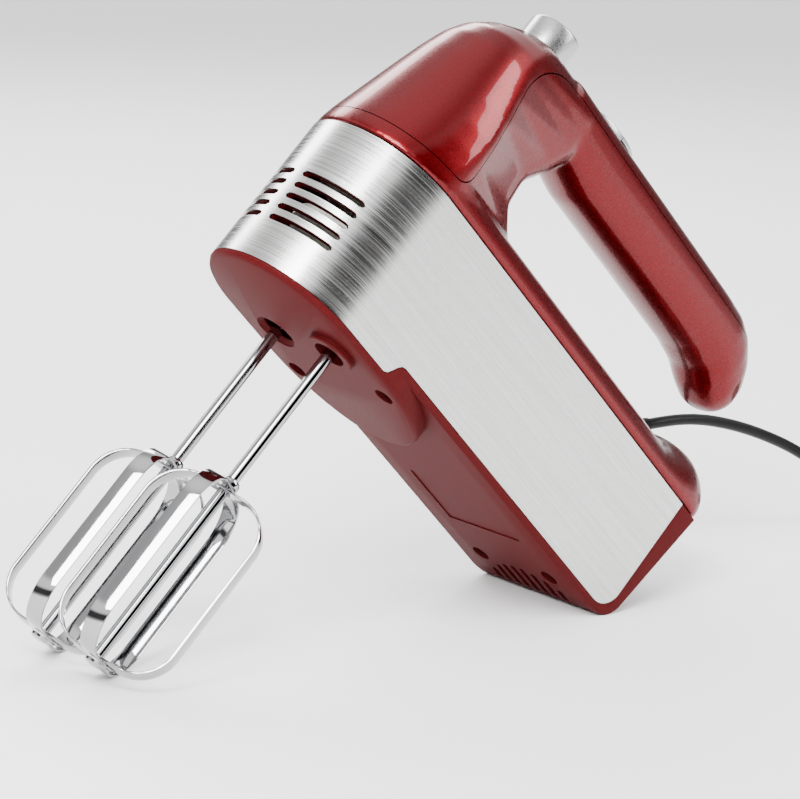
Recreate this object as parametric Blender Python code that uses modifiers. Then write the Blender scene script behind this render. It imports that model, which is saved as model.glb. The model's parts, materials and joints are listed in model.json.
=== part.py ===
"""Hand mixer with two wire beaters, resting on its beaters and its heel.

Everything is drawn in the mixer's own frame: X runs from nose to heel, Z from the beaters to the handle,
and the origin lies on the underside, midway between the two beater holes. The empty mixer_frame then tips
that frame back into the resting pose. Lengths are in millimetres and MM turns them into metres.
"""

import math

import bmesh
import bpy
from mathutils import Matrix, Vector

MM = 0.001
CLEAR = 0.3  # gap left between neighbouring solids

# ---- driving dimensions of the casing
BEATER_SPACING = 35.0
HALF_WIDTH = 36.3  # outside of the steel band
NOSE_STEPS = 16  # flat faces round half a circle of the nose
NOSE_X = -14.2  # centre of the nose's round plan
BAND_TOP = 67.2
BAND_LOW = 10.3
BAND_LOW_HEAD = 2.8
BAND_REAR = 178.5
BAND_THICK = 0.8
WALL = 2.2
UNDER_Z = 7.1  # underside behind the boss
HEEL_X = 172.1
HEEL_R = 12.0
REAR_SLOPE = 0.127  # how far the rear face leans back for each unit of height
BOSS_X = 14.0  # where the boss starts to close in
BOSS_END = 66.0
VENTS = 5
VENT_LOW, VENT_PITCH = 20.5, 5.3
VENT_HALF = 1.35
VENT_ARC = (4.0, 51.0)  # degrees round the nose, from its front
VENT_STEPS = 7
COVER_LOW = BAND_TOP + CLEAR
BARREL_LOW = 70.0
BARREL_RISE = 16.0
BARREL_STEPS = 12
TAIL_X = 158.0
TAIL_RISE = 8.5
TAIL_STATIONS = (
    # share of the way to the rear face, share of the rise, how far the sides draw in
    (0.25, 0.3, 0.0),
    (0.5, 0.8, 0.0),
    (0.7, 1.0, 0.2),
    (0.85, 0.85, 0.8),
    (0.95, 0.5, 1.6),
    (1.0, 0.0, 3.0),
)
HEAD_LEVELS = (
    # height, front, half width
    (COVER_LOW, -50.4, 36.2),
    (71.0, -50.2, 36.0),
    (78.0, -48.6, 35.6),
    (86.0, -46.3, 34.8),
    (96.0, -43.5, 33.2),
    (108.0, -40.2, 30.4),
    (120.0, -36.8, 27.0),
    (131.0, -33.0, 23.6),
    (139.0, -28.2, 20.8),
    (146.0, -20.8, 17.6),
    (151.5, -11.8, 13.6),
    (155.2, -2.6, 8.6),
)
GAP_X, GAP_Z, GAP_R = 48.5, 104.6, 19.0  # centre and radius of the finger gap's front end
HANDLE_LOW, HANDLE_HIGH = 123.3, 157.3
HANDLE_HALF_Y = 17.0
HANDLE_STEPS = 20
PART_NOSE_Z = 75.5  # parting line round the nose
PART_SIDE_X = -9.5
PART_HANDLE_Z = 149.0

# ---- drive
SOCKET_Y = BEATER_SPACING / 2
DRIVE_Z = 48.0  # height of the motor's axis
WHEEL_TEETH = 26
MODULE = 1.0
WHEEL_R = WHEEL_TEETH * MODULE / 2
WORM_R = SOCKET_Y - WHEEL_R
WORM_LEAD = math.pi * MODULE
WHEEL_FACE = 8.0
ARMATURE_SLOTS = 11
FAN_BLADES = 7
HUB_R = 6.8
HUB_LOW, HUB_TOP = 8.0, 61.0
BORE_R = 2.95

# ---- beaters
STEM_R = 2.45
STEM_TOP = 43.0
BEATER_LOW = -149.6
LOOP_TOP = -67.0
LOOP_LOW = -148.0
LOOP_R = 25.0
LOOP_CORNER = 16.0
RIBBON_WIDTH = 7.0
RIBBON_THICK = 0.9
WING_ANGLE = math.radians(30)

# ---- controls
BUTTON_X = 5.5
BUTTON_R = 11.2
BUTTON_TOP = 165.2
BUTTON_LOW = 149.5
SWITCH_HALF_Y = 7.0
TURBO_X = (44.5, 59.5)
SLIDER_X = (60.0, 74.5)
SLIDER_TRAVEL = 24.0
SWITCH_TOP = 160.0

# ---- cord, in the resting frame
FRAME_X = -61.6  # puts the middle of the mixer's length at zero
CORD_R = 2.5
BOOT_LENGTH = 30.0
COIL_AT = (322.0, -16.0)
COIL_MID_R = 27.5  # to the middle of the turns
COIL_HALF = 7.7
COIL_LOW, COIL_HIGH = 1.1, 10.4
PLUG_Z = 18.7
CORD_ROUTE = (
    (148.5, 22.0, 60.4),
    (160.5, 22.0, 60.9),
    (172.5, 22.0, 60.6),
    (186.0, 22.0, 58.9),
    (201.0, 22.0, 55.5),
    (216.5, 22.0, 50.9),
    (234.5, 22.0, 44.2),
    (249.0, 22.0, 37.5),
    (262.5, 22.0, 29.6),
    (276.0, 22.0, 20.5),
    (289.0, 22.0, 11.8),
    (301.0, 22.0, 6.0),
    (312.0, 22.0, 3.8),
    (322.0, 22.0, 3.6),
)

SCREWS = {
    "screw_front_near": (26.1, -26.5),
    "screw_front_far": (26.1, 26.5),
    "screw_rear_near": (156.2, -20.9),
    "screw_rear_far": (156.2, 20.9),
}
COLUMN_TOP = 38.0

for old in list(bpy.data.objects):
    bpy.data.objects.remove(old, do_unlink=True)

mixer = bpy.data.collections.new("hand_mixer")
helpers = bpy.data.collections.new("cutters")
for collection in (mixer, helpers):
    bpy.context.scene.collection.children.link(collection)


# ---------------------------------------------------------------- materials
def material(name, colour, roughness, metallic=0.0):
    made = bpy.data.materials.new(name)
    made.use_nodes = True
    shader = made.node_tree.nodes["Principled BSDF"]
    shader.inputs["Base Color"].default_value = (*colour, 1.0)
    shader.inputs["Roughness"].default_value = roughness
    shader.inputs["Metallic"].default_value = metallic
    made.diffuse_color = (*colour, 1.0)
    return made


RED = material("pearl_red", (0.36, 0.012, 0.016), 0.22)
STEEL = material("brushed_steel", (0.62, 0.62, 0.61), 0.32, 1.0)
CHROME = material("polished_steel", (0.72, 0.72, 0.72), 0.08, 1.0)
SILVER = material("satin_silver", (0.66, 0.66, 0.66), 0.28, 0.9)
BLACK = material("black_rubber", (0.012, 0.012, 0.012), 0.5)
NYLON = material("white_nylon", (0.78, 0.76, 0.7), 0.45)
COPPER = material("copper", (0.72, 0.31, 0.16), 0.35, 1.0)
LAMINATE = material("laminated_iron", (0.3, 0.3, 0.31), 0.5, 0.9)
DARK = material("dark_plastic", (0.03, 0.03, 0.03), 0.5)
BRASS = material("brass", (0.7, 0.5, 0.2), 0.3, 1.0)
GREEN = material("board_green", (0.02, 0.16, 0.06), 0.5)
GRAPHITE = material("graphite", (0.05, 0.05, 0.055), 0.6)


# ---------------------------------------------------------------- making and joining shapes
def add(name, bm, finish=None):
    """A new object in the mixer's collection, from a bmesh in millimetres."""
    if bm.faces:
        bmesh.ops.recalc_face_normals(bm, faces=bm.faces)
    bmesh.ops.scale(bm, vec=(MM, MM, MM), verts=bm.verts)
    mesh = bpy.data.meshes.new(name)
    bm.to_mesh(mesh)
    bm.free()
    obj = bpy.data.objects.new(name, mesh)
    mixer.objects.link(obj)
    if finish:
        mesh.materials.append(finish)
    return obj


def box(name, low, high, finish=None):
    bm = bmesh.new()
    bmesh.ops.create_cube(bm, size=1.0)
    low, high = Vector(low), Vector(high)
    bmesh.ops.scale(bm, vec=high - low, verts=bm.verts)
    bmesh.ops.translate(bm, vec=(high + low) / 2, verts=bm.verts)
    return add(name, bm, finish)


def pin(name, radius, low, high, centre=(0, 0), sides=24, finish=None):
    """A cylinder along Z."""
    bm = bmesh.new()
    turn = Matrix.Translation((*centre, (low + high) / 2))
    made = {"radius1": radius, "radius2": radius, "depth": high - low, "segments": sides}
    bmesh.ops.create_cone(bm, cap_ends=True, matrix=turn, **made)
    return add(name, bm, finish)


def turned(name, profile, bore=0.0, centre=(0, 0), sides=24, finish=None):
    """A profile of (radius, height) pairs spun about Z, solid or with a bore."""
    low, high = profile[0][1], profile[-1][1]
    bm = bmesh.new()
    corners = [bm.verts.new((r, 0, h)) for r, h in [(bore, low), *profile, (bore, high)]]
    for a, b in zip(corners, corners[1:]):
        bm.edges.new((a, b))
    if bore:
        bm.edges.new((corners[-1], corners[0]))
    obj = add(name, bm, finish)
    screw = obj.modifiers.new("spin", "SCREW")
    screw.steps = sides
    screw.render_steps = sides
    screw.use_merge_vertices = True
    screw.merge_threshold = 0.01 * MM
    screw.use_normal_flip = True
    obj.location = Vector((*centre, 0)) * MM
    return obj


def prism(name, outline, low, high, plane="XY", finish=None):
    """An outline drawn in one plane and extruded along the third axis from low to high."""
    place = {
        "XY": lambda a, b, c: (a, b, c),
        "XZ": lambda a, b, c: (a, c, b),
        "YZ": lambda a, b, c: (c, a, b),
    }[plane]
    bm = bmesh.new()
    face = bm.faces.new([bm.verts.new(place(a, b, low)) for a, b in outline])
    raised = bmesh.ops.extrude_face_region(bm, geom=[face])["geom"]
    corners = [item for item in raised if isinstance(item, bmesh.types.BMVert)]
    bmesh.ops.translate(bm, vec=place(0, 0, high - low), verts=corners)
    return add(name, bm, finish)


def loft(name, rings, finish=None):
    """A closed solid through rings of equally many points, each a list of (x, y, z)."""
    bm = bmesh.new()
    made = [[bm.verts.new(p) for p in ring] for ring in rings]
    count = len(rings[0])
    for low, high in zip(made, made[1:]):
        for i in range(count):
            bm.faces.new((low[i], low[(i + 1) % count], high[(i + 1) % count], high[i]))
    bm.faces.new(made[0][::-1])
    bm.faces.new(made[-1])
    return add(name, bm, finish)


def combine(obj, others, operation):
    """Gives obj a Boolean for each of the others, which become helpers."""
    for other in others:
        modifier = obj.modifiers.new(other.name, "BOOLEAN")
        modifier.operation = operation
        modifier.solver = "EXACT"
        modifier.object = other
        if helpers not in other.users_collection:
            mixer.objects.unlink(other)
            helpers.objects.link(other)
            other.hide_render = True
            other.display_type = "WIRE"
    return obj


def cut(obj, *others):
    return combine(obj, others, "DIFFERENCE")


def join(obj, *others):
    return combine(obj, others, "UNION")


def keep_inside(obj, other):
    return combine(obj, [other], "INTERSECT")


def assembly(name, location, tilt, build):
    """Builds pieces round an empty of their own, which carries them to their place."""
    before = set(bpy.data.objects)
    build()
    empty = bpy.data.objects.new(name, None)
    mixer.objects.link(empty)
    for obj in set(bpy.data.objects) - before - {empty}:
        if not obj.parent:
            obj.parent = empty
    empty.location = Vector(location) * MM
    empty.rotation_euler = (0, tilt, 0)
    return empty


def arc(cx, cy, radius, start, end, steps):
    """Points on an arc, with angles in degrees, both ends included."""
    turns = [math.radians(start + (end - start) * i / steps) for i in range(steps + 1)]
    return [(cx + radius * math.cos(a), cy + radius * math.sin(a)) for a in turns]


# ---------------------------------------------------------------- outlines of the casing
def rear_x(z):
    """Where the rear face lies at height z, heel rounding included."""
    straight = HEEL_X + HEEL_R + REAR_SLOPE * max(z - UNDER_Z - HEEL_R, 0.0)
    below = UNDER_Z + HEEL_R - z
    if below <= 0:
        return straight
    return HEEL_X + math.sqrt(max(HEEL_R**2 - below**2, 0.0))


def plan(z, inset=0.0, corner=1.5):
    """The lower casing's outline at height z: a round nose and a square rear."""
    half, back = HALF_WIDTH - inset, rear_x(z) - inset
    nose = arc(NOSE_X, 0, half, 90, 270, NOSE_STEPS)
    near = arc(back - corner, -half + corner, corner, 270, 360, 2)
    far = arc(back - corner, half - corner, corner, 0, 90, 2)
    return [(x, y, z) for x, y in nose + near + far]


def boss_plan(z, inset=0.0):
    """The boss under the nose: round in front, half an ellipse behind."""
    half, reach = HALF_WIDTH - inset, BOSS_END - BOSS_X - inset
    nose = arc(NOSE_X, 0, half, 90, 270, NOSE_STEPS)
    turns = [math.radians(-90 + 180 * i / NOSE_STEPS) for i in range(NOSE_STEPS + 1)]
    tail = [(BOSS_X + reach * math.cos(a), half * math.sin(a)) for a in turns]
    return [(x, y, z) for x, y in nose + tail]


def tub(name, inset, low, high):
    """The lower casing's shape as a solid between two heights."""
    levels = sorted({low, high, *[z for z in (9.6, 11.5, 14.5, 19.1) if low < z < high]})
    return loft(name, [plan(z, inset) for z in levels])


def band_profile(grow=0.0):
    """The steel band's side outline, as seen across the mixer."""
    low, head, back = BAND_LOW - grow, BAND_LOW_HEAD - grow, BAND_REAR + grow
    radius = 10.0 + grow
    notch = [(-60.0, head), (10.5 + grow, head), (14.5 + grow, low - 1.2), (18.0 + grow, low)]
    corner = arc(back - radius, low + radius, radius, 270, 360, 5)
    return notch + corner + [(back, BAND_TOP + grow), (-60.0, BAND_TOP + grow)]


# ---------------------------------------------------------------- lower casing and steel band
def make_bottom_housing():
    bevel = [(UNDER_Z, 1.0), (8.0, 0.3), (9.4, 0.0), (11.5, 0.0), (14.5, 0.0), (19.1, 0.0), (BAND_TOP, 0.0)]
    casing = loft("bottom_housing", [plan(z, inset) for z, inset in bevel], RED)
    join(casing, loft("boss", [boss_plan(z, i) for z, i in ((0, 2.0), (0.7, 0.8), (2.0, 0.0), (12.0, 0.0))]))
    recess = prism("band_recess", band_profile(CLEAR), -50, 50, "XZ")
    cut(casing, cut(recess, tub("band_core", BAND_THICK + CLEAR, 0.0, 80.0)))
    inner = BAND_THICK + CLEAR + WALL
    cut(casing, tub("inside", inner, 9.8, 90.0), loft("boss_inside", [boss_plan(z, inner) for z in (2.6, 13.0)]))
    for x, y in SCREWS.values():
        low = 1.5 if x < BOSS_END else UNDER_Z + 1.5
        join(casing, pin("column", 5.6, low, COLUMN_TOP, (x, y), 16))
        cut(casing, pin("well", 4.1, -5, COLUMN_TOP - 2.2, (x, y), 16), pin("pilot", 1.9, 0, 45, (x, y), 12))
    rings = [(9.6, -2.6), (10.0, -2.0), (9.7, -1.9), (9.7, -1.5), (10.1, -1.4), (10.1, -1.0), (9.8, -0.9)]
    join(casing, turned("collar", rings + [(9.8, -0.5), (10.2, -0.4), (10.2, 1.5)], 0.0, (0, -SOCKET_Y), 24))
    cut(casing, pin("near_hole", 6.6, -9, 9, (0, -SOCKET_Y), 24))
    cut(casing, turned("far_hole", [(8.9, -3), (8.9, 0.4), (7.4, 2.0), (7.4, 9)], 0.0, (0, SOCKET_Y), 24))
    cut(casing, box("label", (98.5, -21.5, 0), (131.0, 21.5, UNDER_Z + 0.5)))
    cut(casing, *rear_vents(), *nose_vents())


def rear_vents():
    """Slots under the heel, whose front ends follow an arc."""
    slots = []
    for i in range(8):
        y = (i - 3.5) * 5.7
        front = 158.7 + 0.021 * y * y
        outline = arc(front, y, 1.4, 90, 270, 4) + [(173.5, y - 1.4), (173.5, y + 1.4)]
        slots.append(prism("slot", outline, 0, 15))
    return slots


def make_steel_band():
    band = tub("steel_band", 0.0, 0.0, 80.0)
    band.data.materials.append(STEEL)
    cut(band, tub("band_inside", BAND_THICK, -5.0, 90.0))
    keep_inside(band, prism("band_zone", band_profile(), -50, 50, "XZ"))
    cut(band, *nose_vents())


def nose_vents():
    """Five slots on each side of the nose, one above the other, that follow its curve."""
    slots = []
    for side in (-1, 1):
        for level in range(VENTS):
            z = VENT_LOW + VENT_PITCH * level
            rings = []
            for i in range(VENT_STEPS + 1):
                share = i / VENT_STEPS
                a = math.radians(180 + side * (VENT_ARC[0] + (VENT_ARC[1] - VENT_ARC[0]) * share))
                half = VENT_HALF * (1 - abs(2 * share - 1) ** 6 * 0.8)
                ring = []
                for radius, rise in ((30.0, -half), (42.0, -half), (42.0, half), (30.0, half)):
                    ring.append((NOSE_X + radius * math.cos(a), radius * math.sin(a), z + rise))
                rings.append(ring)
            slots.append(loft("vent", rings))
    return slots


# ---------------------------------------------------------------- upper casing
def handle_section(x, low, high, half):
    """A rounded section of the handle, square to X."""
    ring = []
    for i in range(HANDLE_STEPS):
        a = 2 * math.pi * (i + 0.5) / HANDLE_STEPS
        c, s = math.cos(a), math.sin(a)
        y = half * math.copysign(abs(c) ** 0.8, c)
        z = (low + high) / 2 + (high - low) / 2 * math.copysign(abs(s) ** 0.8, s)
        ring.append((x, y, z))
    return ring


def handle_solid(name, inset):
    """The grip, from inside the head to its hooked end."""
    low, high, half = HANDLE_LOW, HANDLE_HIGH, HANDLE_HALF_Y
    stations = [
        (22.0, low + 6, high, half),
        (60.0, low, high, half),
        (105.0, low + 0.6, high, half),
        (155.0, low + 1.0, high, half),
        (168.0, low - 0.5, high - 0.7, half),
        (177.0, low - 4.5, high - 3.5, half - 0.5),
        (185.0, low - 7.0, high - 9.0, half - 2.0),
        (191.0, low - 6.0, high - 16.0, half - 4.5),
        (195.0, low - 1.0, high - 23.5, half - 8.5),
    ]
    rings = []
    for x, z0, z1, y in stations:
        back = x - inset if x > 160 else x
        rings.append(handle_section(back, z0 + inset, z1 - inset, y - inset))
    return loft(name, rings)


def head_solid(name, inset):
    """The head, a stack of level outlines from the band's top edge to the crown."""
    rings = []
    for z, front, half in HEAD_LEVELS:
        reach = GAP_R**2 - (z - GAP_Z) ** 2
        back = GAP_X - max(math.sqrt(max(reach, 0.0)), 6.0) - inset
        tail = min(half, HANDLE_HALF_Y + 0.5 if z > GAP_Z - GAP_R else 30.0) - inset
        corner = min(12.0, tail - 0.5)
        level = z if not inset else min(z, HEAD_LEVELS[-1][0] - inset)
        if inset and z == COVER_LOW:
            level = z - 8.0
        near = arc(back - corner, -tail + corner, corner, 280, 360, 4)
        far = arc(back - corner, tail - corner, corner, 0, 80, 4)
        outline = arc(front + half, 0, half - inset, 90, 270, NOSE_STEPS) + near + far
        rings.append([(x, y, level) for x, y in outline])
    return loft(name, rings)


def barrel_section(x, half, rise, low):
    """Half an ellipse over a low straight lip, square to X."""
    ring = [(x, half, low)]
    for i in range(BARREL_STEPS + 1):
        a = math.pi * i / BARREL_STEPS
        ring.append((x, half * math.cos(a), BARREL_LOW + rise * math.sin(a)))
    return ring + [(x, -half, low)]


def barrel_solid(name, inset):
    """The body's rounded top, which rises into the bump over the heel."""
    low = COVER_LOW - 8.0 if inset else COVER_LOW
    half, rise = HALF_WIDTH - 0.2 - inset, BARREL_RISE - inset
    back = rear_x(80.0) - inset
    rings = [barrel_section(x, half, rise, low) for x in (NOSE_X, 30.0, 90.0, TAIL_X)]
    for share, lift, pinch in TAIL_STATIONS:
        x = TAIL_X + (back - TAIL_X) * share
        rings.append(barrel_section(x, half - pinch, rise + TAIL_RISE * lift, low))
    return loft(name, rings)


def upper_solid(name, inset):
    return join(barrel_solid(name, inset), head_solid("head", inset), handle_solid("handle", inset))


def parting_zone(name, shift):
    """Everything above the parting line, as a block across the mixer."""
    side, top = PART_SIDE_X, PART_HANDLE_Z
    outline = [(-80, PART_NOSE_Z), (side - 9, PART_NOSE_Z)]
    outline += arc(side - 8, PART_NOSE_Z + 8, 8, 270, 360, 4)
    outline += arc(side + 27.5, top - 26, 26, 180, 90, 6)
    outline += [(215, top), (215, 200), (-80, 200)]
    return prism(name, [(x + shift, z - shift) for x, z in outline], -60, 60, "XZ")


def make_top_cover():
    cover = upper_solid("top_cover", 0.0)
    cover.data.materials.append(RED)
    cut(cover, upper_solid("cover_inside", WALL))
    keep_inside(cover, parting_zone("cover_zone", 0.0))
    cut(cover, pin("button_hole", BUTTON_R + 0.4, 140, 175, (BUTTON_X, 0), 28))
    cut(cover, prism("turbo_hole", half_oval_outline(TURBO_X[1] + CLEAR, TURBO_X[0], -0.5), 140, 175))
    slot = (SLIDER_X[0] + 2, SLIDER_X[0] + 14 + SLIDER_TRAVEL)
    cut(cover, box("slider_slot", (slot[0], -2.6, 140), (slot[1], 2.6, 175)))


def make_main_housing():
    housing = upper_solid("main_housing", 0.0)
    housing.data.materials.append(RED)
    cut(housing, upper_solid("housing_inside", WALL), parting_zone("housing_zone", CLEAR))
    posts = [pin("post", 4.6, COLUMN_TOP + CLEAR, 90.0, xy, 16) for xy in SCREWS.values()]
    keep_inside(join(posts[0], *posts[1:]), upper_solid("under_skin", 1.0))
    join(housing, posts[0])
    cut(housing, *[pin("pilot", 1.9, 30, 56, xy, 12) for xy in SCREWS.values()])
    shelf = box("shelf", (-5.5, -40, 108), (24, 40, 110.4))
    keep_inside(shelf, head_solid("under_skin", 1.0))
    join(housing, cut(shelf, pin("rod_hole", 3.2, 100, 120, (BUTTON_X, 0), 16)))
    return housing


# ---------------------------------------------------------------- gears
def make_worm_wheel(name, phase):
    """A worm wheel on the hub that grips a beater's stem, round the origin."""
    tip, root = WHEEL_R + 0.75 * MODULE, WHEEL_R - 1.15 * MODULE
    outline = []
    for i in range(WHEEL_TEETH):
        middle = 2 * math.pi * i / WHEEL_TEETH + phase
        for radius, share in ((root, -0.62), (tip, -0.22), (tip, 0.22), (root, 0.62)):
            a = middle + share * math.pi / WHEEL_TEETH
            outline.append((radius * math.cos(a), radius * math.sin(a)))
    lean = WHEEL_FACE / WHEEL_R * WORM_LEAD / (2 * math.pi * WORM_R)
    rings = []
    for share in (-0.5, 0.5):
        c, s = math.cos(lean * share), math.sin(lean * share)
        rings.append([(x * c - y * s, x * s + y * c, DRIVE_Z + WHEEL_FACE * share) for x, y in outline])
    wheel = loft(name, rings, NYLON)
    join(wheel, turned("hub", [(HUB_R - 0.6, HUB_LOW), (HUB_R, HUB_LOW + 0.6), (HUB_R, HUB_TOP)], sides=18))
    cut(wheel, pin("bore", BORE_R, 0, 80, sides=16))


def make_gearbox():
    middle = NOSE_X + 8
    front = arc(middle, 0, 28.5, 90, 270, 12)
    base = prism("gearbox_base", front + [(14.0, -20.0), (31.5, -16.0), (31.5, 16.0), (14.0, 20.0)], 35.0, 39.0, finish=NYLON)
    cover = prism("gearbox_cover", front + [(13.0, -28.5), (13.0, 28.5)], 55.5, 58.0, finish=NYLON)
    for y in (-SOCKET_Y, SOCKET_Y):
        cut(base, pin("bore", HUB_R + 0.35, 0, 80, (0, y)))
        cut(cover, pin("bore", HUB_R + 0.35, 0, 80, (0, y)))
    for name, y in (("thrust_washer_far", SOCKET_Y), ("thrust_washer_near", -SOCKET_Y)):
        turned(name, [(10.0, 39.4), (10.0, 40.4)], HUB_R + 0.35, (0, y), 20, LAMINATE)


# ---------------------------------------------------------------- motor, drawn with its shaft along Z
def make_worm_shaft():
    """The motor's shaft with the worm cut on its front end."""
    shaft = turned("worm_shaft", [(2.0, -17.0), (2.5, -16.4), (2.5, 117.0), (2.0, 117.6)], sides=12, finish=LAMINATE)
    sides, turns = 12, 5
    inner, root, tip = 2.2, WORM_R - 1.1, WORM_R + 0.75
    rings = []
    for i in range(sides * turns + 1):
        a = math.pi / 2 + 2 * math.pi * i / sides
        z = WORM_LEAD * (i / sides - turns / 2)
        corners = ((inner, -0.85), (root, -0.85), (tip, -0.3), (tip, 0.3), (root, 0.85), (inner, 0.85))
        rings.append([(r * math.cos(a), r * math.sin(a), z + dz) for r, dz in corners])
    join(shaft, pin("worm_core", WORM_R - 1.0, -11.0, 11.0, sides=12), loft("thread", rings))


def make_armature():
    outline = []
    for i in range(ARMATURE_SLOTS):
        middle = 2 * math.pi * i / ARMATURE_SLOTS
        for radius, share in ((9.6, -0.82), (13.0, -0.8), (13.0, 0.8), (9.6, 0.82)):
            a = middle + share * math.pi / ARMATURE_SLOTS
            outline.append((radius * math.cos(a), radius * math.sin(a)))
    core = prism("armature_core", outline, 50, 78, finish=LAMINATE)
    cut(core, pin("bore", 2.8, 40, 90, sides=12))
    turned("armature_winding_front", [(5.0, 44.2), (7.8, 45.6), (7.8, 49.7)], 2.8, sides=18, finish=COPPER)
    turned("armature_winding_rear", [(7.8, 78.3), (7.8, 82.4), (5.0, 84.5)], 2.8, sides=18, finish=COPPER)
    bars = [(7.4, 88.0), (7.4, 99.0), (8.6, 99.2), (8.6, 101.0)]
    turned("commutator", bars, 2.8, sides=20, finish=COPPER)


def make_fan():
    fan = turned("cooling_fan", [(6.0, 33.0), (6.0, 39.0), (19.0, 39.0), (19.0, 40.5)], 2.8, sides=28, finish=DARK)
    for i in range(FAN_BLADES):
        blade = box("blade", (5.0, -0.6, 33.4), (18.6, 0.6, 39.5))
        blade.rotation_euler = (0, 0, 2 * math.pi * (i + 0.5) / FAN_BLADES)
        join(fan, blade)


def make_stator():
    half_x, half_y, corner = 22.0, 26.0, 5.0
    outline = []
    for sx, sy, start in ((1, 1, 0), (-1, 1, 90), (-1, -1, 180), (1, -1, 270)):
        outline += arc(sx * (half_x - corner), sy * (half_y - corner), corner, start, start + 90, 3)
    core = prism("stator_core", outline, 50, 78, finish=LAMINATE)
    cut(core, pin("bore", 13.7, 40, 90, sides=28))
    for low, high in ((-19.4, -11.5), (11.5, 19.4)):
        cut(core, box("window", (-17.8, low, 40), (17.8, high, 90)))


def make_field_coils():
    """Two windings, above and below the armature, each a flat loop through the stator's windows."""
    for name, low, high in (("field_coil_upper", -17.2, -8.6), ("field_coil_lower", 8.6, 17.2)):
        outline = [(17, 44.2), (19, 46.2), (19, 81.8), (17, 83.8), (-17, 83.8), (-19, 81.8), (-19, 46.2), (-17, 44.2)]
        coil = prism(name, outline, low, high, "YZ", COPPER)
        cut(coil, box("coil_inside", (-30, -11.9, 49.6), (30, 11.9, 78.4)))


def make_brushes():
    for name, side in (("near", -1), ("far", 1)):
        def block(what, reach, half, ends, finish=None):
            low, high = sorted((side * reach[0], side * reach[1]))
            return box(what, (-half, low, ends[0]), (half, high, ends[1]), finish)

        holder = block(f"brush_holder_{name}", (10.0, 23.0), 4.0, (89.6, 97.4), BRASS)
        cut(holder, block("slot", (5.0, 21.5), 2.6, (91.0, 96.0)))
        block(f"carbon_brush_{name}", (7.8, 18.0), 2.2, (91.4, 95.6), GRAPHITE)


def make_bearings():
    rings = [(7.6, 0.0), (8.0, 0.4), (8.0, 5.1), (7.6, 5.5)]
    for name, at in (("bearing_front", 17.5), ("bearing_rear", 108.0)):
        turned(name, [(r, z + at) for r, z in rings], 2.8, sides=20, finish=LAMINATE)


def make_motor_brackets():
    plate = [(8.0, -25), (8.0, 25), (-8, 25), (-20, 17), (-20, -17), (-8, -25)]
    front = prism("motor_bracket_front", plate, 17.0, 21.0, finish=NYLON)
    plate = [(24, -29), (24, 29), (-12, 29), (-22, 18), (-22, -18), (-12, -29)]
    rear = prism("motor_bracket_rear", plate, 106.0, 111.0, finish=DARK)
    for bracket in (front, rear):
        cut(bracket, pin("seat", 8.3, 10, 120))


# ---------------------------------------------------------------- beaters, drawn round the origin
def ribbon_loop(name, angle, top, low):
    """A flat ribbon bent into a rounded rectangle that stands on edge round the stem."""
    lines = []
    for inset in (0.0, RIBBON_THICK):
        reach, corner = LOOP_R - inset, LOOP_CORNER - inset
        line = []
        for cx, cz, start in (
            (reach - corner, top - LOOP_CORNER, 0),
            (corner - reach, top - LOOP_CORNER, 90),
            (corner - reach, low + LOOP_CORNER, 180),
            (reach - corner, low + LOOP_CORNER, 270),
        ):
            line += arc(cx, cz, corner, start, start + 90, 5)
        lines.append(line)
    loop = prism(name, lines[0], -RIBBON_WIDTH / 2, RIBBON_WIDTH / 2, "XZ", CHROME)
    cut(loop, prism("loop_inside", lines[1], -20, 20, "XZ"), pin("eye", STEM_R + CLEAR, -300, 0, sides=12))
    loop.rotation_euler = (0, 0, angle)
    for modifier in loop.modifiers:
        modifier.object.rotation_euler = (0, 0, angle)


def make_beater(side):
    step = RIBBON_THICK + CLEAR
    ribbon_loop(f"beater_{side}_loop_outer", WING_ANGLE, LOOP_TOP, LOOP_LOW)
    ribbon_loop(f"beater_{side}_loop_inner", WING_ANGLE + math.pi / 2, LOOP_TOP - step, LOOP_LOW + step)
    stem = [(STEM_R, BEATER_LOW + 2.0), (STEM_R, STEM_TOP - 1.0), (STEM_R - 0.8, STEM_TOP)]
    turned(f"beater_{side}_stem", stem, sides=16, finish=CHROME)
    low = LOOP_TOP + CLEAR
    ferrule = [(3.6, low), (3.6, low + 2.0), (2.9, low + 3.0)]
    turned(f"beater_{side}_ferrule", ferrule, STEM_R + CLEAR, sides=16, finish=CHROME)
    rivet = turned(
        f"beater_{side}_rivet",
        [(2.4, BEATER_LOW), (3.2, BEATER_LOW + 0.6), (3.2, LOOP_LOW - CLEAR)],
        sides=16,
        finish=CHROME,
    )
    cut(rivet, pin("rivet_hole", STEM_R + CLEAR, BEATER_LOW + 1.7, 0, sides=16))


# ---------------------------------------------------------------- eject button and speed control
def make_eject_button():
    outside = [(BUTTON_R - 0.2, BUTTON_LOW), (BUTTON_R, BUTTON_LOW + 0.5), (BUTTON_R, BUTTON_TOP - 1.2)]
    outside += [(BUTTON_R - 0.4, BUTTON_TOP - 0.4), (BUTTON_R - 1.3, BUTTON_TOP)]
    button = turned("eject_button", outside, sides=28, finish=SILVER)
    cut(button, pin("inside", BUTTON_R - 1.8, 140, BUTTON_TOP - 2.4))
    join(button, pin("core", 3.6, BUTTON_LOW, BUTTON_TOP - 1.5, sides=16))
    cut(button, pin("socket", 2.7, 140, 160, sides=16))
    pin("eject_rod", 2.4, 73.0, 159.5, sides=16, finish=LAMINATE)


def make_eject_yoke():
    """The crossbar that the eject rod pushes, with a pin over each beater's stem."""
    yoke = box("eject_yoke", (-5.0, -21.0, 70.0), (9.5, 21.0, 72.6), LAMINATE)
    for y in (-SOCKET_Y, SOCKET_Y):
        join(yoke, pin("push_pin", 2.0, 52.8, 71.0, (0, y), 12))


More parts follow.
